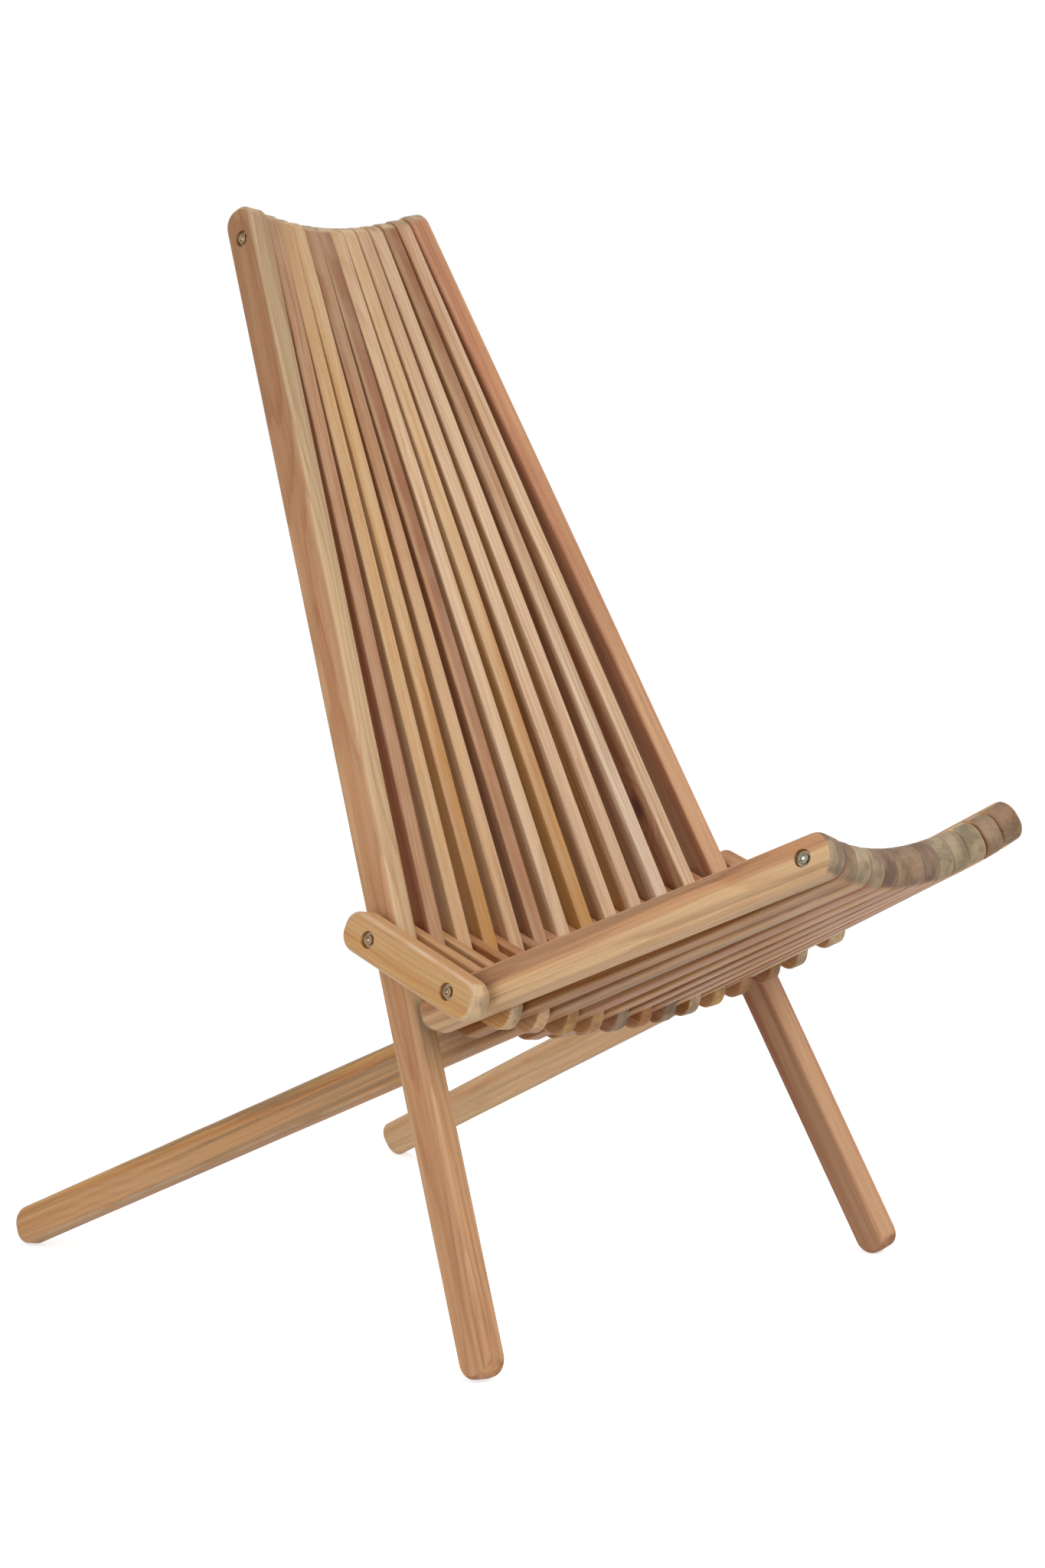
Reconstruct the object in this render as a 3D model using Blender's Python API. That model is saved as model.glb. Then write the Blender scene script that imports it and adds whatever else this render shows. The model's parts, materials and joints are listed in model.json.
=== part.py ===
"""A folding lounge chair of teak sticks strung side by side on four steel cables.

The chair faces -Y, stands on Z = 0 and is mirrored about X = 0. Thirteen back sticks run
down through the head cable and the back hinge cable; the outermost two are the front legs.
Thirteen seat sticks run back through the seat front cable and the seat hinge cable; two of
them go on down as the rear legs. Fourteen short links lie between them on the two hinge
cables, and every cable hangs in a bow, which gives the back and the seat their hollow.
"""
import math
from collections import namedtuple

import bmesh
import bpy
from mathutils import Matrix, Vector

# Sections of the timber. Thickness is measured along the cables.
STICK_DEPTH = 0.0334
BACK_STICK_THICKNESS = 0.0148
SEAT_STICK_THICKNESS = 0.0146
LINK_THICKNESS = 0.0130
OUTER_THICKNESS = 0.0205
REAR_LEG_THICKNESS = 0.0178
OUTER_CHAMFER = 0.0032
INNER_CHAMFER = 0.0018
END_RADIUS = 0.0145

# Number of sticks each side of the middle one, and which of the seat sticks is a rear leg.
STICKS_PER_SIDE = 6
REAR_LEG_RANK = 4

# Clear gaps between neighbours on each cable. At the hinges they widen towards the sides.
HEAD_GAP = 0.00125
SEAT_FRONT_GAP = 0.0033
HINGE_GAP_MIDDLE = 0.0006
BACK_HINGE_GAP_GROWTH = 0.00286
SEAT_HINGE_GAP_GROWTH = 0.00273

# Each cable's height and place in front of the back hinge cable, at its two ends. The links
# hang the seat from the back hinge, so the heights of its two cables are set from there.
HEAD_FORWARD = -0.2660
HEAD_HEIGHT = 0.8815
BACK_HINGE_HEIGHT = 0.3250
SEAT_HINGE_FORWARD = 0.0881
SEAT_HINGE_DROP = 0.0306
SEAT_HINGE_HEIGHT = BACK_HINGE_HEIGHT - SEAT_HINGE_DROP
SEAT_FRONT_FORWARD = 0.3509
SEAT_FRONT_RISE = 0.1137
SEAT_FRONT_HEIGHT = SEAT_HINGE_HEIGHT + SEAT_FRONT_RISE

# How far the middle of each cable bows back and down.
HEAD_BOW_BACK = 0.0080
HEAD_BOW_DOWN = 0.0171
BACK_HINGE_BOW_BACK = 0.0150
BACK_HINGE_BOW_DOWN = 0.0420
SEAT_HINGE_BOW_BACK = 0.0140
SEAT_HINGE_BOW_DOWN = 0.0410
SEAT_FRONT_BOW_BACK = 0.0121
SEAT_FRONT_BOW_DOWN = 0.0267

# Lean of the outermost pieces about their own length; the others lean in proportion.
BACK_LEAN = 0.048
SEAT_LEAN = 0.247
LINK_LEAN = 0.174

# Wood past the centre of each hole.
HEAD_OVERHANG = 0.0287
SEAT_FRONT_OVERHANG = 0.0251
BACK_STICK_TAIL = 0.0242
SEAT_STICK_TAIL = 0.0470
LINK_OVERHANG = 0.0289

# Cables, their bores, and the washers and ferrules that end them in the outermost pieces.
CABLE_RADIUS = 0.0020
BORE_CLEARANCE = 0.0006
FITTING_CLEARANCE = 0.0003
RECESS_RADIUS = 0.0070
RECESS_DEPTH = 0.0046
WASHER_RADIUS = 0.0063
WASHER_THICKNESS = 0.0012
FERRULE_RADIUS = 0.0043
FERRULE_LENGTH = 0.0028
FERRULE_CHAMFER = 0.0005

# Facets on rounded shapes, and how far a cutting tool runs past what it cuts.
CORNER_FACETS = 4
BORE_FACETS = 12
FITTING_FACETS = 16
TOOL_OVERRUN = 0.0030

ACROSS = Vector((1.0, 0.0, 0.0))
TEAK_TONES = {
    "teak_honey": (0.42, 0.22, 0.09),
    "teak_brown": (0.27, 0.12, 0.055),
    "teak_pale": (0.60, 0.40, 0.21),
}
STEEL_GREY = (0.42, 0.42, 0.37)

Row = namedtuple("Row", "forward height bow_back bow_down places half_width")
Bar = namedtuple("Bar", "name frame length tail head thickness chamfer")


def ranks():
    """Place numbers of the sticks from one side to the other, 0 being the middle one."""
    return range(-STICKS_PER_SIDE, STICKS_PER_SIDE + 1)


def back_thickness(rank):
    return OUTER_THICKNESS if abs(rank) == STICKS_PER_SIDE else BACK_STICK_THICKNESS


def seat_thickness(rank):
    if abs(rank) == REAR_LEG_RANK:
        return REAR_LEG_THICKNESS
    return OUTER_THICKNESS if abs(rank) == STICKS_PER_SIDE else SEAT_STICK_THICKNESS


def link_thickness(number):
    """Links are numbered 0 to 2 * STICKS_PER_SIDE + 1, one each side of every stick."""
    return OUTER_THICKNESS if number in (0, 2 * STICKS_PER_SIDE + 1) else LINK_THICKNESS


def layered(stick_thickness):
    """Thicknesses along a hinge cable: link, stick, link and so on, ending in a link."""
    layers = [link_thickness(0)]
    for number, rank in enumerate(ranks(), start=1):
        layers += [stick_thickness(rank), link_thickness(number)]
    return layers


def make_row(forward, height, bow_back, bow_down, thicknesses, gap, gap_growth=0.0):
    """Lay pieces side by side along a cable, centred on X = 0, and note where they come."""
    count = len(thicknesses)
    places = [0.0]
    for k in range(count - 1):
        from_middle = (abs(k - (count - 2) / 2) + 0.5) / ((count - 1) / 2)
        step = (thicknesses[k] + thicknesses[k + 1]) / 2 + gap + gap_growth * from_middle
        places.append(places[-1] + step)
    middle = places[-1] / 2
    places = [place - middle for place in places]
    half_width = places[-1] + thicknesses[-1] / 2
    return Row(forward, height, bow_back, bow_down, places, half_width)


def on_row(row, x):
    """The point of a bowed cable at X = x."""
    bow = 1 - (x / row.half_width) ** 2
    return Vector((x, -(row.forward - row.bow_back * bow), row.height - row.bow_down * bow))


def bar_frame(origin, toward, lean):
    """A bar's axes: Z along it, X through its broad faces, and its origin in its hinge hole."""
    along = (toward - origin).normalized()
    upright = ACROSS.cross(along).normalized()
    if upright.z < 0:
        upright.negate()
    through = ACROSS + lean * upright
    through = (through - along * through.dot(along)).normalized()
    frame = Matrix.Identity(4)
    for column, axis in enumerate((through, along.cross(through), along, origin)):
        frame.col[column][:3] = axis
    return frame


def bar_outline(tail, head, inset):
    """Rounded outline of a bar's broad face as (y, z) points, from -tail to head along Z."""
    half = STICK_DEPTH / 2
    radius = END_RADIUS - inset
    corners = (
        (half - END_RADIUS, head - END_RADIUS, 0),
        (END_RADIUS - half, head - END_RADIUS, 90),
        (END_RADIUS - half, END_RADIUS - tail, 180),
        (half - END_RADIUS, END_RADIUS - tail, 270),
    )
    points = []
    for y, z, start in corners:
        for k in range(CORNER_FACETS + 1):
            angle = math.radians(start + 90 * k / CORNER_FACETS)
            points.append((y + radius * math.cos(angle), z + radius * math.sin(angle)))
    return points


def bar_sections(tail, head, thickness, chamfer):
    """Four cross sections of a bar through its thickness, with chamfered edges."""
    edge = thickness / 2
    shoulder = edge - chamfer
    sections = []
    for x, inset in ((-edge, chamfer), (-shoulder, 0), (shoulder, 0), (edge, chamfer)):
        sections.append([Vector((x, y, z)) for y, z in bar_outline(tail, head, inset)])
    return sections


def leg_tail(frame, thickness, chamfer):
    """Wood needed past the hinge hole for a leg's rounded foot to touch the floor."""
    turn = frame.to_3x3()
    unit_leg = bar_sections(END_RADIUS, END_RADIUS, thickness, chamfer)
    lowest = min((turn @ point).z for section in unit_leg for point in section)
    drop = turn.col[2].z
    return (frame.translation.z + lowest) / drop + END_RADIUS


def make_bar(name, origin, toward, lean, thickness, chamfer, head, tail=None):
    """Describe one bar from its hinge hole to its far hole; with no tail given it is a leg."""
    frame = bar_frame(origin, toward, lean)
    length = (toward - origin).length
    if tail is None:
        tail = leg_tail(frame, thickness, chamfer)
    return Bar(name, frame, length, tail, head, thickness, chamfer)


def make_rows():
    back = [back_thickness(rank) for rank in ranks()]
    seat = [seat_thickness(rank) for rank in ranks()]
    return {
        "head": make_row(HEAD_FORWARD, HEAD_HEIGHT, HEAD_BOW_BACK, HEAD_BOW_DOWN, back, HEAD_GAP),
        "back_hinge": make_row(
            0.0, BACK_HINGE_HEIGHT, BACK_HINGE_BOW_BACK, BACK_HINGE_BOW_DOWN,
            layered(back_thickness), HINGE_GAP_MIDDLE, BACK_HINGE_GAP_GROWTH,
        ),
        "seat_hinge": make_row(
            SEAT_HINGE_FORWARD, SEAT_HINGE_HEIGHT, SEAT_HINGE_BOW_BACK, SEAT_HINGE_BOW_DOWN,
            layered(seat_thickness), HINGE_GAP_MIDDLE, SEAT_HINGE_GAP_GROWTH,
        ),
        "seat_front": make_row(
            SEAT_FRONT_FORWARD, SEAT_FRONT_HEIGHT, SEAT_FRONT_BOW_BACK, SEAT_FRONT_BOW_DOWN,
            seat, SEAT_FRONT_GAP,
        ),
    }


def back_bars(rows):
    """Back sticks, with the front legs as the outermost two."""
    bars = []
    for number, rank in enumerate(ranks()):
        low = on_row(rows["back_hinge"], rows["back_hinge"].places[2 * number + 1])
        high = on_row(rows["head"], rows["head"].places[number])
        lean = BACK_LEAN * rank / STICKS_PER_SIDE
        leg = abs(rank) == STICKS_PER_SIDE
        bars.append(make_bar(
            f"back_stick_{number + 1:02d}", low, high, lean, back_thickness(rank),
            OUTER_CHAMFER if leg else INNER_CHAMFER,
            HEAD_OVERHANG, None if leg else BACK_STICK_TAIL,
        ))
    return bars


def seat_bars(rows):
    """Seat sticks, two of which go on down behind the hinge as the rear legs."""
    bars = []
    for number, rank in enumerate(ranks()):
        rear = on_row(rows["seat_hinge"], rows["seat_hinge"].places[2 * number + 1])
        front = on_row(rows["seat_front"], rows["seat_front"].places[number])
        lean = SEAT_LEAN * rank / STICKS_PER_SIDE
        leg = abs(rank) == REAR_LEG_RANK
        outermost = abs(rank) == STICKS_PER_SIDE
        bars.append(make_bar(
            f"seat_stick_{number + 1:02d}", rear, front, lean, seat_thickness(rank),
            OUTER_CHAMFER if leg or outermost else INNER_CHAMFER,
            SEAT_FRONT_OVERHANG, None if leg else SEAT_STICK_TAIL,
        ))
    return bars


def link_bars(rows):
    """Short links that join the back hinge cable to the seat hinge cable."""
    bars = []
    for number in range(2 * STICKS_PER_SIDE + 2):
        upper = on_row(rows["back_hinge"], rows["back_hinge"].places[2 * number])
        lower = on_row(rows["seat_hinge"], rows["seat_hinge"].places[2 * number])
        lean = LINK_LEAN * (number - STICKS_PER_SIDE - 0.5) / STICKS_PER_SIDE
        outermost = number in (0, 2 * STICKS_PER_SIDE + 1)
        bars.append(make_bar(
            f"link_{number + 1:02d}", upper, lower, lean, link_thickness(number),
            OUTER_CHAMFER if outermost else INNER_CHAMFER,
            LINK_OVERHANG, LINK_OVERHANG,
        ))
    return bars


def timber_sections(bar):
    return bar_sections(bar.tail, bar.length + bar.head, bar.thickness, bar.chamfer)


def hole_of(bar, far):
    """Centre of a bar's far hole or of its hinge hole."""
    return bar.frame @ Vector((0.0, 0.0, bar.length if far else 0.0))


def outward(bar):
    """The direction out of the broad face that looks away from the middle of the chair."""
    through = bar.frame.to_3x3().col[0].copy()
    return through if bar.frame.translation.x > 0 else -through


def row_direction(row, bar, far):
    """The cable's direction, towards +X, where it crosses a bar."""
    x = hole_of(bar, far).x
    half = bar.thickness / 2
    return (on_row(row, x + half) - on_row(row, x - half)).normalized()


def cable_route(row, strung):
    """Points of a cable through the (bar, far hole) pairs that it strings together.

    It runs straight inside each inner bar. In each outermost bar it turns square to the
    outer face, and it ends level with the outer end of its ferrule.
    """
    route = []
    for bar, far in strung[1:-1]:
        centre = hole_of(bar, far)
        step = row_direction(row, bar, far) * bar.thickness / 2
        route += [centre - step, centre + step]
    for (bar, far), at_start in ((strung[0], True), (strung[-1], False)):
        centre = hole_of(bar, far)
        reach = bar.thickness / 2 - RECESS_DEPTH + washer_seat() + FERRULE_LENGTH
        end = centre + outward(bar) * reach
        route = [end, centre] + route if at_start else route + [centre, end]
    return route


def washer_seat():
    """Height of a ferrule's inner end above the floor of its recess."""
    return FITTING_CLEARANCE + WASHER_THICKNESS + FITTING_CLEARANCE


def axis_frame(centre, direction):
    """Placement whose Z axis runs along direction."""
    turn = direction.to_track_quat("Z", "X").to_matrix().to_4x4()
    return Matrix.Translation(centre) @ turn


def circle(frame, z, radius, facets):
    """Corners of a faceted circle about a placement's Z axis."""
    corners = []
    for k in range(facets):
        angle = 2 * math.pi * k / facets
        corners.append(frame @ Vector((radius * math.cos(angle), radius * math.sin(angle), z)))
    return corners


def skin(bm, sections, ring=False):
    """Close a row of like sections with end caps, or with each other as a ring."""
    rows = [[bm.verts.new(point) for point in section] for section in sections]
    pairs = list(zip(rows, rows[1:]))
    if ring:
        pairs.append((rows[-1], rows[0]))
    for low, high in pairs:
        for k in range(len(low)):
            after = (k + 1) % len(low)
            bm.faces.new((low[k], low[after], high[after], high[k]))
    if not ring:
        bm.faces.new(list(reversed(rows[0])))
        bm.faces.new(rows[-1])


def new_object(name, bm, material=None, frame=None):
    """Make an object of a bmesh, with its faces turned outwards."""
    bmesh.ops.recalc_face_normals(bm, faces=bm.faces)
    mesh = bpy.data.meshes.new(name)
    bm.to_mesh(mesh)
    bm.free()
    if material:
        mesh.materials.append(material)
    obj = bpy.data.objects.new(name, mesh)
    if frame:
        obj.matrix_world = frame
    bpy.context.scene.collection.objects.link(obj)
    return obj


def make_material(name, colour, roughness, metallic=0.0):
    material = bpy.data.materials.new(name)
    material.use_nodes = True
    shader = material.node_tree.nodes["Principled BSDF"]
    shader.inputs["Base Color"].default_value = (*colour, 1.0)
    shader.inputs["Roughness"].default_value = roughness
    shader.inputs["Metallic"].default_value = metallic
    material.diffuse_color = (*colour, 1.0)
    return material


def teak_for(bar, number, materials):
    """Legs are the darkest teak, and the other bars take turns of honey and pale."""
    if bar.tail > bar.length:
        return materials["teak_brown"]
    return materials["teak_pale" if number % 3 == 1 else "teak_honey"]


def drill(obj, name, bores):
    """Cut bores, each a row of circles, out of a bar."""
    bm = bmesh.new()
    for circles in bores:
        skin(bm, circles)
    cutter = new_object(f"{name}_bores", bm)
    cutter.hide_render = True
    cutter.display_type = "WIRE"
    cut = obj.modifiers.new("bores", "BOOLEAN")
    cut.operation = "DIFFERENCE"
    cut.solver = "EXACT"
    cut.object = cutter
    return cutter


def bore_through(bar, centre, direction):
    """A plain bore along the cable's own line."""
    half = bar.thickness / 2 + TOOL_OVERRUN
    frame = axis_frame(centre, direction)
    return [circle(frame, z, CABLE_RADIUS + BORE_CLEARANCE, BORE_FACETS) for z in (-half, half)]


def bore_with_recess(bar, centre, direction):
    """A bore that turns square to an outermost bar and opens out for its ferrule."""
    edge = bar.thickness / 2
    square = outward(bar)
    if direction.dot(square) < 0:
        direction = -direction
    radius = CABLE_RADIUS + BORE_CLEARANCE
    cable_line = axis_frame(centre, direction)
    turning = axis_frame(centre, direction + square)
    face_line = axis_frame(centre, square)
    return [
        circle(cable_line, -edge - TOOL_OVERRUN, radius, BORE_FACETS),
        circle(turning, 0.0, radius, BORE_FACETS),
        circle(face_line, edge - RECESS_DEPTH, radius, BORE_FACETS),
        circle(face_line, edge - RECESS_DEPTH, RECESS_RADIUS, BORE_FACETS),
        circle(face_line, edge + TOOL_OVERRUN, RECESS_RADIUS, BORE_FACETS),
    ]


def bores_on(row, strung):
    """Each bar's bore on one cable, by bar name."""
    bores = {}
    for k, (bar, far) in enumerate(strung):
        bore = bore_with_recess if k in (0, len(strung) - 1) else bore_through
        bores[bar.name] = bore(bar, hole_of(bar, far), row_direction(row, bar, far))
    return bores


def build_cable(name, route, material):
    """A cable is one round rod along its route, with closed ends."""
    curve = bpy.data.curves.new(name, "CURVE")
    curve.dimensions = "3D"
    curve.bevel_depth = CABLE_RADIUS
    curve.bevel_resolution = 2
    curve.use_fill_caps = True
    spline = curve.splines.new("POLY")
    spline.points.add(len(route) - 1)
    for point, place in zip(spline.points, route):
        point.co = (*place, 1.0)
    curve.materials.append(material)
    obj = bpy.data.objects.new(name, curve)
    bpy.context.scene.collection.objects.link(obj)
    return obj


def build_fittings(cable, side, bar, far, material):
    """The washer and the ferrule in the recess of an outermost bar."""
    frame = axis_frame(hole_of(bar, far), outward(bar))
    floor = bar.thickness / 2 - RECESS_DEPTH
    bore = CABLE_RADIUS + FITTING_CLEARANCE
    low = floor + FITTING_CLEARANCE
    high = low + WASHER_THICKNESS
    washer = bmesh.new()
    stations = [(low, bore), (low, WASHER_RADIUS), (high, WASHER_RADIUS), (high, bore)]
    skin(washer, [circle(frame, *station, FITTING_FACETS) for station in stations], ring=True)
    low = floor + washer_seat()
    high = low + FERRULE_LENGTH
    ferrule = bmesh.new()
    stations = [
        (low, bore),
        (low, FERRULE_RADIUS),
        (high - FERRULE_CHAMFER, FERRULE_RADIUS),
        (high, FERRULE_RADIUS - FERRULE_CHAMFER),
        (high, bore),
    ]
    skin(ferrule, [circle(frame, *station, FITTING_FACETS) for station in stations], ring=True)
    return [
        new_object(f"washer_{cable}_{side}", washer, material),
        new_object(f"ferrule_{cable}_{side}", ferrule, material),
    ]


def layers_of(links, sticks):
    """Links and sticks in turn, as they are strung on a hinge cable."""
    order = [links[0]]
    for stick, link in zip(sticks, links[1:]):
        order += [stick, link]
    return order


def build_chair():
    for obj in list(bpy.data.objects):
        bpy.data.objects.remove(obj, do_unlink=True)
    materials = {name: make_material(name, tone, 0.62) for name, tone in TEAK_TONES.items()}
    steel = make_material("cable_steel", STEEL_GREY, 0.38, metallic=1.0)

    rows = make_rows()
    backs, seats, links = back_bars(rows), seat_bars(rows), link_bars(rows)
    strings = {
        "head": [(bar, True) for bar in backs],
        "back_hinge": [(bar, False) for bar in layers_of(links, backs)],
        "seat_hinge": [(bar, bar in links) for bar in layers_of(links, seats)],
        "seat_front": [(bar, True) for bar in seats],
    }
    bores = [bores_on(rows[cable], strung) for cable, strung in strings.items()]

    built = []
    for family in (backs, seats, links):
        for number, bar in enumerate(family):
            bm = bmesh.new()
            skin(bm, timber_sections(bar))
            stick = new_object(bar.name, bm, teak_for(bar, number, materials), bar.frame)
            mine = [found[bar.name] for found in bores if bar.name in found]
            built += [stick, drill(stick, bar.name, mine)]
    for cable, strung in strings.items():
        built.append(build_cable(f"cable_{cable}", cable_route(rows[cable], strung), steel))
        for side, (bar, far) in (("right", strung[0]), ("left", strung[-1])):
            built += build_fittings(cable, side, bar, far, steel)

    stand_on_centre(built, backs + seats + links)


def timber_points(bar):
    """Every corner of a bar's timber."""
    for section in timber_sections(bar):
        for point in section:
            yield bar.frame @ point


def stand_on_centre(objects, bars):
    """Hang everything on one empty, moved so that the chair's box is centred on Y = 0."""
    across = [point.y for bar in bars for point in timber_points(bar)]
    chair = bpy.data.objects.new("chair", None)
    bpy.context.scene.collection.objects.link(chair)
    for obj in objects:
        obj.parent = chair
    chair.location.y = -(min(across) + max(across)) / 2


build_chair()
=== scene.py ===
"""Looks of a folding lounge chair made of teak sticks strung side by side on steel cables."""

import json
import math

import bmesh
import bpy
import numpy as np
from mathutils import Matrix, Vector


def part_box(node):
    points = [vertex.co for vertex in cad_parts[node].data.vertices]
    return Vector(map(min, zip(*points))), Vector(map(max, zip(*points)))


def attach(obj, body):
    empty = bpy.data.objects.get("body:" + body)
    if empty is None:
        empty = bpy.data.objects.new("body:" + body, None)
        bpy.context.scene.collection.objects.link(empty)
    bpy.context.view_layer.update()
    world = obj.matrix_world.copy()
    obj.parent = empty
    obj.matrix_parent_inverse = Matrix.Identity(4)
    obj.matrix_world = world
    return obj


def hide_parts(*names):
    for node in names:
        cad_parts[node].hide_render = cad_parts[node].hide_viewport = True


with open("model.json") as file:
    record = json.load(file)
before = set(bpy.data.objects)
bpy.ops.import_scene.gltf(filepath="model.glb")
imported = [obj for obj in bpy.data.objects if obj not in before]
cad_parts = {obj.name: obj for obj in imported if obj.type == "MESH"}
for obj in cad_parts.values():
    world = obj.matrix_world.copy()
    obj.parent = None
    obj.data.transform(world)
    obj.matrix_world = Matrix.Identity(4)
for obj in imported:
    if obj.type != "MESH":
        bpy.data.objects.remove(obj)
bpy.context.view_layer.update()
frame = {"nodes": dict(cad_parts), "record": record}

# ---------------------------------------------------------------- studio
# A pale paper floor in an even white room, under a wide soft lamp in front and above and a
# weaker one at the side, seen from the chair's front right corner a little above the seat.
CAMERA_PLACE = Vector((-1.8963, -1.8293, 0.7352))
CAMERA_TARGET = Vector((-0.0457, -0.0377, 0.4282))
CAMERA_ROLL = math.radians(-0.754)
CAMERA_LENS = 72.55
FLOOR_HALF = 14.0
ROOM_STRENGTH = 0.57
FLOOR_GLOW = 0.66
PAPER_COLOUR = (0.75, 0.75, 0.75, 1.0)
WHITE = (1.0, 1.0, 1.0, 1.0)
LAMP_AIM = Vector((0.0, 0.0, 0.45))


def aimed(place, target, roll=0.0):
    """Placement at place whose -Z axis looks at target, turned by roll about that axis."""
    turn = (target - place).to_track_quat("-Z", "Y").to_matrix().to_4x4()
    return Matrix.Translation(place) @ turn @ Matrix.Rotation(roll, 4, "Z")


camera_data = bpy.data.cameras.new("camera")
camera_data.sensor_fit = "VERTICAL"
camera_data.sensor_height = 36.0
camera_data.sensor_width = 36.0
camera_data.lens = CAMERA_LENS
camera = bpy.data.objects.new("camera", camera_data)
camera.matrix_world = aimed(CAMERA_PLACE, CAMERA_TARGET, CAMERA_ROLL)
bpy.context.scene.collection.objects.link(camera)
bpy.context.scene.camera = camera
bpy.context.scene.view_settings.view_transform = "Standard"


def soft_lamp(name, place, size, power):
    """A square lamp of the given side in metres, aimed at the middle of the chair."""
    data = bpy.data.lights.new(name, "AREA")
    data.shape = "SQUARE"
    data.size = size
    data.energy = power
    lamp = bpy.data.objects.new(name, data)
    lamp.matrix_world = aimed(Vector(place), LAMP_AIM)
    bpy.context.scene.collection.objects.link(lamp)


soft_lamp("key_lamp", (-0.3, -2.3, 2.3), 1.5, 42.0)
soft_lamp("side_lamp", (-3.0, -0.3, 0.9), 1.8, 21.0)


def plain_rays(tree):
    """1 for rays from the camera and for those that metal reflects, 0 for diffuse light."""
    path = tree.nodes.new("ShaderNodeLightPath")
    total = path.outputs["Is Camera Ray"]
    for kind in ("Is Glossy Ray", "Is Transmission Ray"):
        larger = tree.nodes.new("ShaderNodeMath")
        larger.operation = "MAXIMUM"
        tree.links.new(total, larger.inputs[0])
        tree.links.new(path.outputs[kind], larger.inputs[1])
        total = larger.outputs[0]
    return total


world = bpy.data.worlds.new("white_room")
bpy.context.scene.world = world
world.use_nodes = True
room = world.node_tree
room_light = room.nodes["Background"]
room_light.inputs["Color"].default_value = WHITE
room_strength = room.nodes.new("ShaderNodeMapRange")
room_strength.inputs["To Min"].default_value = ROOM_STRENGTH
room_strength.inputs["To Max"].default_value = 1.0
room.links.new(plain_rays(room), room_strength.inputs["Value"])
room.links.new(room_strength.outputs[0], room_light.inputs["Strength"])

floor_mesh = bpy.data.meshes.new("floor")
corners = np.array([(-1, -1), (1, -1), (1, 1), (-1, 1)]) * FLOOR_HALF
floor_mesh.from_pydata([(x, y, 0.0) for x, y in corners], [], [(0, 1, 2, 3)])
floor = bpy.data.objects.new("floor", floor_mesh)
bpy.context.scene.collection.objects.link(floor)
paper = bpy.data.materials.new("paper")
paper.use_nodes = True
paper_shader = paper.node_tree.nodes["Principled BSDF"]
paper_shader.inputs["Base Color"].default_value = PAPER_COLOUR
paper_shader.inputs["Roughness"].default_value = 0.95
paper_shader.inputs["Specular IOR Level"].default_value = 0.0
paper_shader.inputs["Emission Color"].default_value = WHITE
paper_glow = paper.node_tree.nodes.new("ShaderNodeMath")
paper_glow.operation = "MULTIPLY"
paper_glow.inputs[1].default_value = FLOOR_GLOW
paper.node_tree.links.new(plain_rays(paper.node_tree), paper_glow.inputs[0])
paper.node_tree.links.new(paper_glow.outputs[0], paper_shader.inputs["Emission Strength"])
floor_mesh.materials.append(paper)

# ---------------------------------------------------------------- back sticks and front legs
# Thirteen oiled teak sticks, planed square, with softly rounded edges and ends. The outermost
# two are thicker, run down to the floor as the front legs, and are bored for the cable ends.
STOUT_ROUNDING = 0.0032
SLIM_ROUNDING = 0.0014
STOUT_THICKNESS = 0.0170
EDGE_FULLNESS = 1.6
END_RADIUS = 0.0145
EDGE_STEPS = 6
CORNER_STEPS = 9
STICK_STEP = 0.014
FACE_MARGINS = (0.0060, 0.0022)
PLANING_DEPTH = 0.00016
WEAR_AND_HIGHLIGHT_REACH = 0.0042
CABLE_BORE = 0.0026
RECESS_RADIUS = 0.0070
RECESS_DEPTH = 0.0046
BORE_STEPS = 40
TOOL_OVERRUN = 0.0030
CROSSING_TRIES = 12
NUDGE = 1e-4
OUTER_HALF_THICKNESS = 0.0095
SHARP_BAR_ANGLE = math.radians(38)

TONES = {
    "pearl": "#DCC2A6",
    "apricot": "#E8BE90",
    "bone": "#DAB896",
    "beige": "#C4A680",
    "cream": "#D0A87C",
    "honey": "#C49458",
    "amber": "#BC8840",
    "blush": "#CC9A74",
    "tan": "#BA8652",
    "salmon": "#BE8A60",
    "rose": "#AC7854",
    "umber": "#A06C3A",
    "rust": "#A46230",
    "russet": "#9C6649",
    "brown": "#98643E",
    "oak": "#80644A",
    "ash": "#B89C7C",
    "grey": "#8E7860",
    "olive": "#8C7C60",
    "plum": "#6E5242",
}


def tone(name):
    """A named tone of teak as linear red, green, blue and 1."""
    parts = [int(TONES[name][k : k + 2], 16) / 255 for k in (1, 3, 5)]
    linear = (c / 12.92 if c <= 0.04045 else ((c + 0.055) / 1.055) ** 2.4 for c in parts)
    return (*linear, 1.0)


def mesh_array(elements, key, width=1):
    """One property of every vertex or face of a mesh, as an array of rows."""
    values = np.empty(len(elements) * width)
    elements.foreach_get(key, values)
    return values.reshape(-1, width) if width > 1 else values


def widest_normal(normals, areas):
    """The direction of the flat face, or faces, with the largest total area."""
    steps = np.round(normals, 2)
    _, group = np.unique(steps, axis=0, return_inverse=True)
    group = group.ravel()
    best = np.argmax(np.bincount(group, weights=areas))
    chosen = (normals * areas[:, None])[group == best].sum(0)
    return chosen / np.linalg.norm(chosen)


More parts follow.
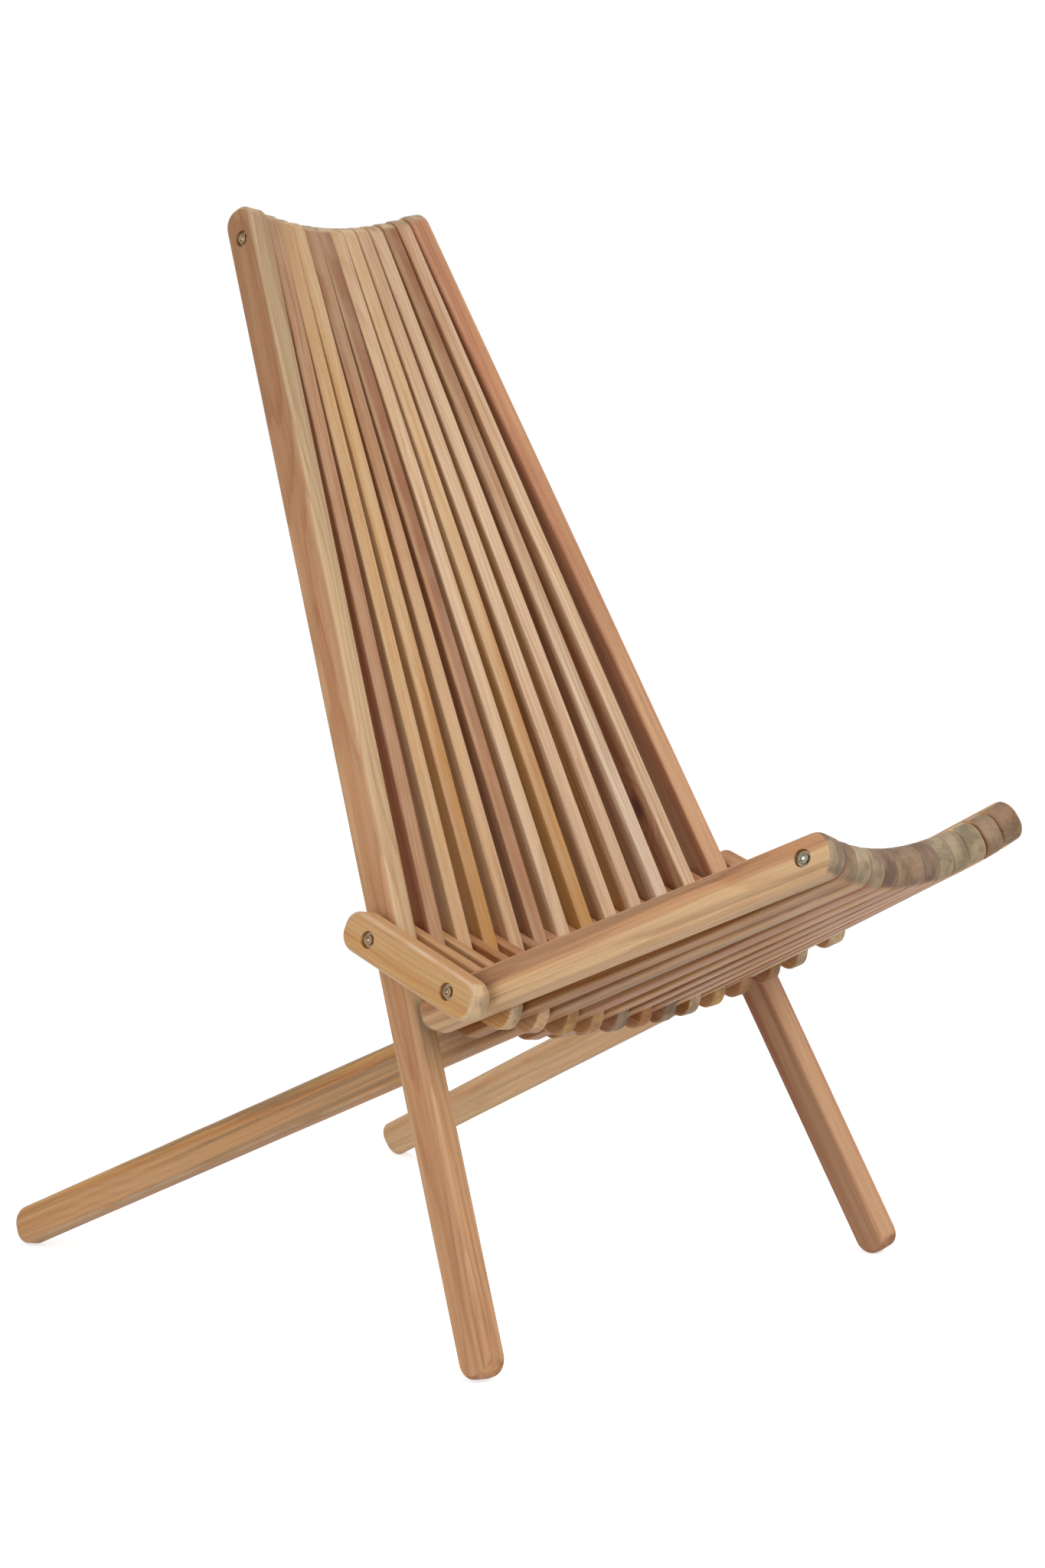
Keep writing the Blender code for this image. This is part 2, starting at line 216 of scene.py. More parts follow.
def stick_frame(node):
    """A CAD stick's axes, middle and half sizes.

    Through goes out of its broad faces towards +X, depth out of its narrow faces towards the
    sitter, and along runs down its length. The half sizes are its furthest reaches on them.
    """
    mesh = frame["nodes"][node].data
    normals = mesh_array(mesh.polygons, "normal", 3)
    areas = mesh_array(mesh.polygons, "area")
    points = mesh_array(mesh.vertices, "co", 3)
    through = widest_normal(normals, areas)
    through *= np.sign(through[0])
    side = np.abs(normals @ through) < 0.02
    depth = widest_normal(normals[side], areas[side])
    depth *= np.sign(depth @ (0.0, -1.0, 1.0))
    along = np.cross(through, depth)
    axes = np.array((through, depth, along))
    axes *= np.array((1.0, 1.0, np.sign(along @ (0.0, -0.3, 1.0))))[:, None]
    local = points @ axes.T
    low, high = local.min(0), local.max(0)
    return axes, axes.T @ ((low + high) / 2), (high - low) / 2


def rounded_outline(half_depth, half_length, steps_along):
    """Points and outward directions round a bar's broad face, as (depth, along) pairs.

    Four quarter circles of END_RADIUS are joined by straight runs. The long runs are cut into
    steps_along pieces, so the surface can waver a little, and the ends into two.
    """
    centres = np.array(((1, 1), (-1, 1), (-1, -1), (1, -1)))
    reach = np.array((half_depth - END_RADIUS, half_length - END_RADIUS))
    points, directions = [], []
    for k, centre in enumerate(centres):
        angle = np.radians(90 * k + np.linspace(0, 90, CORNER_STEPS + 1))
        ray = np.stack((np.cos(angle), np.sin(angle)), 1)
        corner = centre * reach + END_RADIUS * ray
        after = centres[(k + 1) % 4] * reach + END_RADIUS * ray[-1]
        share = np.linspace(0, 1, (2 if k % 2 == 0 else steps_along) + 1)[1:-1, None]
        points += [corner, corner[-1] + share * (after - corner[-1])]
        directions += [ray, np.repeat(ray[-1:], len(share), 0)]
    return np.concatenate(points), np.concatenate(directions)


def edge_profile(half_thickness):
    """How far in from the outline, and how far through the bar, each row of its surface lies.

    From one broad face to the other: two rows on the face, a rounded edge that is a quarter
    of a superellipse, the same edge on the other side, and two rows on the other face. Legs
    and outermost pieces are rounded more than the slim ones between them.
    """
    rounding = STOUT_ROUNDING if 2 * half_thickness > STOUT_THICKNESS else SLIM_ROUNDING
    angle = np.linspace(0, math.pi / 2, EDGE_STEPS + 1)
    inset = rounding * (1 - np.sin(angle) ** (2 / EDGE_FULLNESS))
    drop = rounding * (1 - np.cos(angle) ** (2 / EDGE_FULLNESS))
    margins = rounding + np.array(FACE_MARGINS)
    inset = np.concatenate((margins, inset, inset[::-1], margins[::-1]))
    level = half_thickness - np.concatenate((np.zeros(2), drop))
    return inset, np.concatenate((-level, level[::-1]))


def bar_surface(half, seed, flare):
    """Corners and faces of one planed bar about its own middle.

    Each row of edge_profile is the outline moved in by that row's inset, so the surface is a
    grid over (round the outline, across the edge), closed by a flat face at each end. The
    planing takes off up to PLANING_DEPTH in slow waves along the bar. Flare is how much
    further out its two broad faces lie at the far end, and over what length they widen.
    """
    outline, direction = rounded_outline(half[1], half[2], max(4, int(2 * half[2] / STICK_STEP)))
    inset, level = edge_profile(half[0])
    random = np.random.default_rng(seed)
    phase = random.uniform(0, 2 * math.pi, 3)
    waves = sum(np.sin(outline[:, 1] * f + p) for f, p in zip((21.0, 47.0, 83.0), phase)) / 6 + 0.5
    inset = inset[:, None] + PLANING_DEPTH * waves[None, :]
    ring = outline[None] - direction[None] * inset[..., None]
    left, right, run = flare
    share = np.clip(1 - (half[2] - ring[..., 1]) / run, 0, 1)
    through = level[:, None] + share * np.where(level < 0, -left, right)[:, None]
    points = np.concatenate((through[..., None], ring), 2).reshape(-1, 3)
    rows, columns = len(level), len(outline)
    r, c = np.meshgrid(np.arange(rows - 1), np.arange(columns), indexing="ij")
    after = (c + 1) % columns
    quads = np.stack((r * columns + c, r * columns + after,
                      (r + 1) * columns + after, (r + 1) * columns + c), -1).reshape(-1, 4)
    caps = [list(range(columns - 1, -1, -1)), list(range((rows - 1) * columns, rows * columns))]
    return points, quads.tolist() + caps


def solid(name, points, faces):
    """A mesh object with the given corners and faces, its faces turned outwards."""
    mesh = bpy.data.meshes.new(name)
    mesh.from_pydata(points.tolist(), [], faces)
    bm = bmesh.new()
    bm.from_mesh(mesh)
    bmesh.ops.recalc_face_normals(bm, faces=bm.faces)
    bm.to_mesh(mesh)
    bm.free()
    obj = bpy.data.objects.new(name, mesh)
    bpy.context.scene.collection.objects.link(obj)
    return obj


def tube(stations, radii, steps):
    """Corners and faces of a closed round tube through the stations, one radius at each.

    Each ring stands square to the direction that its station gives, with its first corner
    upwards. Stations are rows of a point and a direction.
    """
    stations = np.asarray(stations, float)
    heading = stations[:, 3:] / np.linalg.norm(stations[:, 3:], axis=1)[:, None]
    start = np.array((0.0, 0.0, 1.0))
    up = start - heading * (heading @ start)[:, None]
    up /= np.linalg.norm(up, axis=1)[:, None]
    side = np.cross(heading, up)
    angle = np.linspace(0, 2 * math.pi, steps, endpoint=False)
    radii = np.asarray(radii, float).reshape(len(stations), -1)
    radii = np.broadcast_to(radii, (len(stations), steps))
    rays = np.cos(angle)[None, :, None] * up[:, None] + np.sin(angle)[None, :, None] * side[:, None]
    points = stations[:, None, :3] + radii[..., None] * rays
    r, c = np.meshgrid(np.arange(len(stations) - 1), np.arange(steps), indexing="ij")
    after = (c + 1) % steps
    quads = np.stack((r * steps + c, r * steps + after,
                      (r + 1) * steps + after, (r + 1) * steps + c), -1).reshape(-1, 4)
    last = (len(stations) - 1) * steps
    caps = [list(range(steps - 1, -1, -1)), list(range(last, last + steps))]
    return points.reshape(-1, 3), quads.tolist() + caps


def cable_line(cable):
    """The parabola that a hung cable lies on, as two polynomials giving Y and Z from X."""
    points = mesh_array(frame["nodes"][cable].data.vertices, "co", 3)
    inner = points[np.abs(points[:, 0]) < 0.8 * np.abs(points[:, 0]).max()]
    return np.polyfit(inner[:, 0], inner[:, 1], 2), np.polyfit(inner[:, 0], inner[:, 2], 2)


def line_at(line, x):
    """Points of a cable's line at the given X, one row each."""
    x = np.atleast_1d(np.asarray(x, float))
    return np.stack((x, np.polyval(line[0], x), np.polyval(line[1], x)), 1)


def crossing(line, axes, middle):
    """Where a cable's line goes through the middle plane of a stick, and its direction there."""
    x = middle[0]
    for _ in range(CROSSING_TRIES):
        point = line_at(line, x)[0]
        heading = line_at(line, x + NUDGE)[0] - point
        x -= (point - middle) @ axes[0] / (heading @ axes[0]) * NUDGE
    point = line_at(line, x)[0]
    heading = line_at(line, x + NUDGE)[0] - point
    return point, heading / np.linalg.norm(heading)


def bore_tool(place, half_thickness, outer_side):
    """A plain drill along the cable, or for an outermost stick one that steps out to the recess."""
    point, heading, square = place
    reach = half_thickness / abs(heading @ square) + TOOL_OVERRUN
    if not outer_side:
        stations = [(*(point + heading * s), *heading) for s in (-reach, reach)]
        return tube(stations, [CABLE_BORE, CABLE_BORE], BORE_STEPS)
    outward = square * outer_side
    heading = heading * np.sign(heading @ outward)
    step = half_thickness - RECESS_DEPTH
    stations = [
        (*(point - heading * reach), *heading),
        (*point, *(heading + outward)),
        (*(point + outward * step), *outward),
        (*(point + outward * step), *outward),
        (*(point + outward * (half_thickness + TOOL_OVERRUN)), *outward),
    ]
    radii = [CABLE_BORE, CABLE_BORE, CABLE_BORE, RECESS_RADIUS, RECESS_RADIUS]
    return tube(stations, radii, BORE_STEPS)


def drilled(obj, tools):
    """Take each drill's shape out of a bar and keep the result as the bar's own mesh."""
    for k, (points, faces) in enumerate(tools):
        drill = solid(f"{obj.name}_drill_{k}", points, faces)
        cut = obj.modifiers.new(f"bore_{k}", "BOOLEAN")
        cut.operation = "DIFFERENCE"
        cut.solver = "EXACT"
        cut.object = drill
        bpy.context.view_layer.update()
        graph = bpy.context.evaluated_depsgraph_get()
        made = bpy.data.meshes.new_from_object(obj.evaluated_get(graph))
        obj.modifiers.clear()
        before = obj.data
        obj.data = made
        made.name = obj.name
        bpy.data.meshes.remove(before)
        drill_mesh = drill.data
        bpy.data.objects.remove(drill)
        bpy.data.meshes.remove(drill_mesh)


def mark_places(obj, axes, middle, half):
    """Give every corner its place in the bar and how far it is end grain or a pale edge.

    Place is (through, depth, along) in metres from the bar's middle. End grain is the square
    of the part of the surface's direction that runs along the bar, near its outline. An edge
    is paled, partly for wear and partly as a painted highlight where the rounded edge catches
    light, where the distances to the broad face and the outline are both within the edge reach.
    """
    mesh = obj.data
    points = mesh_array(mesh.vertices, "co", 3)
    normals = mesh_array(mesh.vertices, "normal", 3)
    place = (points - middle) @ axes.T
    end_grain = (normals @ axes[2]) ** 2
    past = np.abs(place[:, 1:]) - (half[1:] - END_RADIUS)
    from_outline = END_RADIUS - np.linalg.norm(np.maximum(past, 0), axis=1)
    from_outline -= np.minimum(past.max(1), 0)
    from_face = half[0] - np.abs(place[:, 0])
    end_grain *= from_outline < WEAR_AND_HIGHLIGHT_REACH
    # Pale edge mask: partly real wear, partly painted highlight where the rounded edges catch
    # light.
    wear_and_highlight_edge = np.clip(1 - np.maximum(from_outline, from_face) / WEAR_AND_HIGHLIGHT_REACH, 0, 1)
    for name, kind, values in (
        ("bar_place", "FLOAT_VECTOR", place),
        ("end_grain", "FLOAT", end_grain),
        ("wear_and_highlight_edge", "FLOAT", wear_and_highlight_edge),
    ):
        layer = mesh.attributes.new(name, kind, "POINT")
        layer.data.foreach_set("vector" if kind == "FLOAT_VECTOR" else "value", values.ravel())


def put(tree, kind, *values, out=0, **settings):
    """Add a node, give its inputs, in order, numbers, colours or outputs, and return an output."""
    node = tree.nodes.new(kind)
    for key, value in settings.items():
        setattr(node, key, value)
    shown = [s for s in node.inputs if s.enabled]
    for socket, value in zip(shown, values):
        if isinstance(value, bpy.types.NodeSocket):
            tree.links.new(value, socket)
        elif value is not None:
            socket.default_value = value
    enabled = [s for s in node.outputs if s.enabled]
    return enabled[out]


def calc(tree, operation, *values):
    """The result of one sum on numbers or outputs."""
    return put(tree, "ShaderNodeMath", *values, operation=operation)


def ramp(tree, value, low, high, to_low=0.0, to_high=1.0):
    """Smooth step from to_low to to_high while value goes from low to high."""
    return put(tree, "ShaderNodeMapRange", value, low, high, to_low, to_high,
               interpolation_type="SMOOTHSTEP")


def grain_noise(tree, place, seed, across, along, detail, out=0):
    """Noise stretched down the bar: across and along are its waves per metre."""
    scaled = vector_math(tree, "MULTIPLY", place, (across, across, along))
    moved = vector_math(tree, "ADD", scaled, seed)
    return put(tree, "ShaderNodeTexNoise", moved, 1.0, detail, 0.55, out=out)


def blend(tree, share, first, second, how="MIX"):
    """The first colour with a share of the second mixed or multiplied in."""
    return put(tree, "ShaderNodeMix", share, first, second, data_type="RGBA", blend_type=how)


def vector_math(tree, operation, *values):
    """The result of one sum on vectors or colours."""
    return put(tree, "ShaderNodeVectorMath", *values, operation=operation)


GROUP_INPUTS = (
    ("Side", "NodeSocketColor"), ("Face", "NodeSocketColor"), ("Streak", "NodeSocketColor"),
    ("End", "NodeSocketColor"), ("Foot", "NodeSocketColor"), ("Turn", "NodeSocketVector"),
    ("Level", "NodeSocketFloat"), ("Softness", "NodeSocketFloat"), ("Streaks", "NodeSocketFloat"),
    ("Figure", "NodeSocketFloat"), ("Wear and highlight", "NodeSocketFloat"), ("Painted head shade", "NodeSocketFloat"),
    ("Seed", "NodeSocketVector"), ("Pith", "NodeSocketVector"), ("Knot", "NodeSocketVector"),
)


RINGS_PER_METRE = 230.0
RING_RIPPLE = 0.9
PITH_WAVER = (0.070, 0.070, 0.0)
SAP_WAVER = 0.007
KNOT_SHAPE = (1.0, 1.0, 0.42)
KNOT_REACH = 0.020
KNOT_BULGE = 0.012
FLAT_ACROSS = (1.0, 1.0, 0.0)
HALF = (0.5, 0.5, 0.5)
PALE_SHARE = 0.40
VEIN_WIDTH = 0.022
PORE_SHARE = 0.45
CHANGE_SHARE = 0.55
KNOT_SHARE = 0.92
END_SHARE = 0.95
END_ROUGHER = 0.14
GRAIN_ROUGHNESS = (0.46, 0.60)
FIBRE_SHADES = (0.88, 1.08)
MOTTLE_SHADES = (0.66, 1.20)
# Where along the bar the painted shade towards the head comes in.
PAINTED_HEAD_SHADE_RUN = (0.05, 0.42)
RUSTY_LINE = (0.76, 0.52, 0.34, 1.0)
PALE_WOOD = (0.62, 0.41, 0.22, 1.0)
VEIN_WOOD = (0.60, 0.36, 0.20, 1.0)
LATE_WOOD = (0.62, 0.42, 0.27, 1.0)
PORE_WOOD = (0.42, 0.28, 0.19, 1.0)
KNOT_WOOD = (0.30, 0.17, 0.10, 1.0)
END_LATE_WOOD = (0.74, 0.64, 0.56, 1.0)
# Pale edge colour: partly wear, partly painted highlight on the rounded edges.
WEAR_AND_HIGHLIGHT_WOOD = (0.64, 0.51, 0.37, 1.0)


def teak_grain():
    """The grain that all the bars share, as a node group.

    A solid pattern in the bar's own place. The colour goes from Side to Face where place
    along Turn passes Level, with a rusty line at the change. Growth rings are distances from
    a wavering pith line beside the bar, and bulge round the knot. Veins are where a slow noise
    is close to its middle. Streaks, fibres and pores are noises drawn out down the bar. The
    colour is painted darker towards the far end by the amount given, a painted shade (painted
    light there when the amount is below zero). End grain is mottled, in the End colour there
    and in the Foot colour at the near end, and edges are paler, partly for wear and partly as
    a painted highlight where the rounded edges catch light.
    """
    tree = bpy.data.node_groups.new("teak_grain", "ShaderNodeTree")
    for name, kind in GROUP_INPUTS:
        tree.interface.new_socket(name, in_out="INPUT", socket_type=kind)
    for name, kind in (("Colour", "NodeSocketColor"), ("Roughness", "NodeSocketFloat"),
                       ("Height", "NodeSocketFloat")):
        tree.interface.new_socket(name, in_out="OUTPUT", socket_type=kind)
    given = tree.nodes.new("NodeGroupInput").outputs
    place = put(tree, "ShaderNodeAttribute", out=1, attribute_name="bar_place")
    end_grain = put(tree, "ShaderNodeAttribute", out=2, attribute_name="end_grain")
    wear_and_highlight_edge = put(tree, "ShaderNodeAttribute", out=2, attribute_name="wear_and_highlight_edge")
    along = put(tree, "ShaderNodeSeparateXYZ", place, out=2)
    seed = given["Seed"]

    # growth rings round the pith, bulging at the knot
    from_knot = vector_math(tree, "SUBTRACT", place, given["Knot"])
    from_knot = vector_math(tree, "MULTIPLY", from_knot, KNOT_SHAPE)
    from_knot = vector_math(tree, "LENGTH", from_knot)
    waver = grain_noise(tree, place, seed, 9.0, 1.6, 2.0, out=1)
    drift = vector_math(tree, "MULTIPLY", vector_math(tree, "SUBTRACT", waver, HALF), PITH_WAVER)
    off_pith = vector_math(tree, "SUBTRACT", place, given["Pith"])
    off_pith = vector_math(tree, "ADD", off_pith, drift)
    radius = vector_math(tree, "LENGTH", vector_math(tree, "MULTIPLY", off_pith, FLAT_ACROSS))
    radius = calc(tree, "ADD", radius, ramp(tree, from_knot, 0.0, KNOT_REACH, KNOT_BULGE, 0.0))
    ripple = calc(tree, "MULTIPLY", grain_noise(tree, place, seed, 130.0, 5.0, 2.0), RING_RIPPLE)
    within = calc(tree, "FRACT", calc(tree, "MULTIPLY_ADD", radius, RINGS_PER_METRE, ripple))
    dark_ring, ring_end = ramp(tree, within, 0.40, 0.9), ramp(tree, within, 0.92, 1.0, 1.0, 0.0)
    late = calc(tree, "MULTIPLY", calc(tree, "MULTIPLY", dark_ring, ring_end), given["Figure"])

    # the side tone and the face tone, and the rusty line between them
    reach = vector_math(tree, "DOT_PRODUCT", place, given["Turn"])
    slow = calc(tree, "SUBTRACT", grain_noise(tree, place, seed, 30.0, 2.6, 2.0), 0.5)
    reach = calc(tree, "MULTIPLY_ADD", slow, SAP_WAVER, reach)
    over = calc(tree, "SUBTRACT", reach, given["Level"])
    over = calc(tree, "DIVIDE", over, given["Softness"])
    colour = blend(tree, ramp(tree, over, -1.0, 1.0), given["Side"], given["Face"])
    change = ramp(tree, calc(tree, "ABSOLUTE", over), 0.0, 0.9, CHANGE_SHARE, 0.0)
    colour = blend(tree, change, colour, RUSTY_LINE, "MULTIPLY")

    # streaks, pale stretches, veins and late wood
    broad = grain_noise(tree, place, seed, 125.0, 2.6, 3.0)
    share = calc(tree, "MULTIPLY", ramp(tree, broad, 0.49, 0.62), given["Streaks"])
    colour = blend(tree, share, colour, given["Streak"])
    pale = grain_noise(tree, place, seed, 85.0, 1.7, 2.0, out=1)
    pale = put(tree, "ShaderNodeSeparateXYZ", pale, out=1)
    colour = blend(tree, ramp(tree, pale, 0.40, 0.66, 0.0, PALE_SHARE), colour, PALE_WOOD)
    slow = grain_noise(tree, place, seed, 62.0, 1.5, 2.0)
    from_middle = calc(tree, "ABSOLUTE", calc(tree, "SUBTRACT", slow, 0.5))
    vein = ramp(tree, from_middle, 0.002, VEIN_WIDTH, 1.0, 0.0)
    vein = calc(tree, "MULTIPLY", vein, ramp(tree, pale, 0.35, 0.60, 0.9, 0.15))
    vein = calc(tree, "MULTIPLY", vein, given["Figure"])
    colour = blend(tree, vein, colour, VEIN_WOOD, "MULTIPLY")
    colour = blend(tree, late, colour, LATE_WOOD, "MULTIPLY")

    # fibres, pores and the knot
    fibre = grain_noise(tree, place, seed, 900.0, 16.0, 3.0)
    colour = vector_math(tree, "SCALE", colour, ramp(tree, fibre, 0.25, 0.75, *FIBRE_SHADES))
    dash = grain_noise(tree, place, seed, 1500.0, 70.0, 1.0)
    crowd = ramp(tree, broad, 0.35, 0.65, 0.25, 1.0)
    pore = calc(tree, "MULTIPLY", ramp(tree, dash, 0.64, 0.74), crowd)
    share = calc(tree, "MULTIPLY", pore, PORE_SHARE)
    colour = blend(tree, share, colour, PORE_WOOD, "MULTIPLY")
    knot = ramp(tree, from_knot, 0.0010, 0.0085, KNOT_SHARE, 0.0)
    colour = blend(tree, knot, colour, KNOT_WOOD, "MULTIPLY")
    # Painted shade: the colour darkens towards the far end, and lightens there when the amount is
    # below zero.
    least = calc(tree, "SUBTRACT", 1.0, given["Painted head shade"])
    colour = vector_math(tree, "SCALE", colour, ramp(tree, along, *PAINTED_HEAD_SHADE_RUN, 1.0, least))

    # mottled end grain, and pale edges that are partly wear and partly painted highlight
    mottle = grain_noise(tree, place, seed, 60.0, 60.0, 4.0)
    drawn = calc(tree, "MULTIPLY", calc(tree, "SUBTRACT", slow, 0.5), 0.8)
    shade = ramp(tree, calc(tree, "ADD", mottle, drawn), 0.36, 0.64, *MOTTLE_SHADES)
    end_tone = blend(tree, ramp(tree, along, -0.001, 0.001), given["Foot"], given["End"])
    end_colour = vector_math(tree, "SCALE", end_tone, shade)
    end_colour = blend(tree, late, end_colour, END_LATE_WOOD, "MULTIPLY")
    at_end = ramp(tree, end_grain, 0.015, 0.24, 0.0, END_SHARE)
    colour = blend(tree, at_end, colour, end_colour)
    # Painted highlight: edges are paled partly for wear and partly for the light the rounded edges
    # catch.
    edge_patchiness = ramp(tree, grain_noise(tree, place, seed, 60.0, 22.0, 3.0), 0.38, 0.66, 0.25, 1.0)
    wear_and_highlight = calc(tree, "MULTIPLY", ramp(tree, wear_and_highlight_edge, 0.15, 0.9), edge_patchiness)
    colour = blend(tree, calc(tree, "MULTIPLY", wear_and_highlight, given["Wear and highlight"]), colour, WEAR_AND_HIGHLIGHT_WOOD)

    rough = ramp(tree, fibre, 0.25, 0.75, *GRAIN_ROUGHNESS)
    rough = calc(tree, "MULTIPLY_ADD", at_end, END_ROUGHER, rough)
    height = calc(tree, "MULTIPLY_ADD", fibre, 0.5, calc(tree, "MULTIPLY", late, -0.5))
    height = calc(tree, "MULTIPLY_ADD", pore, -0.6, height)
    result = tree.nodes.new("NodeGroupOutput")
    tree.links.new(colour, result.inputs["Colour"])
    tree.links.new(rough, result.inputs["Roughness"])
    tree.links.new(height, result.inputs["Height"])
    return tree


GRAIN = teak_grain()
BAR_SPECULAR = 0.35
BUMP_STRENGTH = 0.35
BUMP_DEPTH = 0.0004
PITH_REACHES = (0.012, 0.050)
FIGURES = (0.10, 0.45)
NO_KNOT = (0.0, 0.0, 9.0)
KNOTS = {"back_stick_12": (-0.0075, 0.002, -0.225)}
# How strongly each bar's edges are paled, partly for wear and partly as painted highlight.
PLAIN_WEAR_AND_HIGHLIGHT = 0.18
EDGE_WEAR_AND_HIGHLIGHT = {"link_01": 0.95, "link_14": 0.70, "seat_stick_03": 0.60}
# Painted shade on the back sticks, darker towards their heads; below zero, as on back stick 13, it
# is painted light there.
PAINTED_HEAD_SHADE = {f"back_stick_{k:02d}": 0.16 for k in range(2, 13)}
PAINTED_HEAD_SHADE |= {"back_stick_01": 0.22, "back_stick_13": -0.15}
FEET = {"seat_stick_11": "salmon", "back_stick_13": "rose", "back_stick_01": "salmon"}


def teak(node, seed, look):
    """One bar's own teak. Look is its side, face, streak and end tones, and where they meet.

    Where is (across, deep, slope, level, softness): the face tone lies past level metres in
    the direction across * through + deep * depth + slope * along.
    """
    side, face, streak, end, (across, deep, slope, level, softness), streaks = look
    material = bpy.data.materials.new(f"teak_{node}")
    material.use_nodes = True
    tree = material.node_tree
    shader = tree.nodes["Principled BSDF"]
    shader.inputs["Specular IOR Level"].default_value = BAR_SPECULAR
    group = tree.nodes.new("ShaderNodeGroup")
    group.node_tree = GRAIN
    random = np.random.default_rng(seed)
    pith_turn = random.uniform(0, 2 * math.pi)
    pith_reach = random.uniform(*PITH_REACHES)
    for key, value in (
        ("Side", tone(side)), ("Face", tone(face)), ("Streak", tone(streak)), ("End", tone(end)),
        ("Foot", tone(FEET.get(node, end))), ("Painted head shade", PAINTED_HEAD_SHADE.get(node, 0.0)),
        ("Turn", (across, deep, slope)), ("Level", level), ("Softness", softness),
        ("Streaks", streaks), ("Figure", random.uniform(*FIGURES)),
        ("Wear and highlight", EDGE_WEAR_AND_HIGHLIGHT.get(node, PLAIN_WEAR_AND_HIGHLIGHT)), ("Knot", KNOTS.get(node, NO_KNOT)),
        ("Seed", random.uniform(0, 60, 3)),
        ("Pith", (pith_reach * math.cos(pith_turn), pith_reach * math.sin(pith_turn), 0.0)),
    ):
        group.inputs[key].default_value = value
    bump = tree.nodes.new("ShaderNodeBump")
    bump.inputs["Strength"].default_value = BUMP_STRENGTH
    bump.inputs["Distance"].default_value = BUMP_DEPTH
    tree.links.new(group.outputs["Colour"], shader.inputs["Base Color"])
    tree.links.new(group.outputs["Roughness"], shader.inputs["Roughness"])
    tree.links.new(group.outputs["Height"], bump.inputs["Height"])
    tree.links.new(bump.outputs["Normal"], shader.inputs["Normal"])
    return material


BODY_OF = {n: body for body, nodes in frame["record"]["behaviour"]["bodies"].items() for n in nodes}


def make_bar(node, cables, look, seed, flare=(0.0, 0.0, 1.0)):
    """Build the planed, drilled and grained bar that stands for one CAD stick."""
    axes, middle, half = stick_frame(node)
    points, faces = bar_surface(half, seed, flare)
    obj = solid(f"{node}_teak", points @ axes + middle, faces)
    outermost = node.endswith(("_01", "_13", "_14")) and half[0] > OUTER_HALF_THICKNESS
    outer = int(np.sign(middle[0])) if outermost else 0
    tools = []
    for cable in cables:
        point, heading = crossing(cable_line(cable), axes, middle)
        tools.append(bore_tool((point, heading, axes[0]), half[0], outer))
    drilled(obj, tools)
    mark_places(obj, axes, middle, half)
    obj.data.shade_smooth()
    obj.data.set_sharp_from_angle(angle=SHARP_BAR_ANGLE)
    obj.data.materials.clear()
    obj.data.materials.append(teak(node, seed, look))
    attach(obj, BODY_OF[node])
    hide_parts(node)
    return obj


FRONT_SAP = (0.0, 1.0, 0.004, 0.0154, 0.0012)
SOFT_FRONT = (0.0, 1.0, -0.006, 0.0115, 0.0050)
FADING_FRONT = (0.0, 1.0, -0.030, 0.0140, 0.0070)
LEG_FADE = (0.0, 1.0, -0.008, 0.0140, 0.0030)
LOW_SAP = (0.2, 1.0, -0.014, 0.0095, 0.0060)
HIGH_SAP = (-0.4, 1.0, 0.030, 0.0125, 0.0060)
BACK_LOOKS = (
    ("salmon", "beige", "rust", "beige", FRONT_SAP, 0.25),
    ("rust", "rose", "brown", "ash", SOFT_FRONT, 0.60),
    ("umber", "cream", "amber", "beige", LOW_SAP, 0.40),
    ("amber", "cream", "amber", "beige", HIGH_SAP, 0.60),
    ("brown", "cream", "rose", "ash", FADING_FRONT, 0.50),
    ("brown", "rose", "plum", "ash", FADING_FRONT, 0.30),
    ("amber", "bone", "honey", "beige", LOW_SAP, 0.40),
    ("amber", "cream", "amber", "beige", HIGH_SAP, 0.60),
    ("umber", "bone", "salmon", "beige", SOFT_FRONT, 0.40),
    ("amber", "bone", "rose", "beige", SOFT_FRONT, 0.35),
    ("brown", "pearl", "brown", "ash", FADING_FRONT, 0.50),
    ("rust", "bone", "umber", "beige", LOW_SAP, 0.40),
    ("russet", "blush", "rose", "ash", LEG_FADE, 0.40),
)
BACK_CABLES = ("cable_head", "cable_back_hinge")
HEAD_FLARE = 0.0004
HEAD_FLARE_RUN = 0.45
for number, look in enumerate(BACK_LOOKS, start=1):
    flare = (HEAD_FLARE * (number > 1), HEAD_FLARE * (number < 13), HEAD_FLARE_RUN)
    make_bar(f"back_stick_{number:02d}", BACK_CABLES, look, 100 + number, flare)

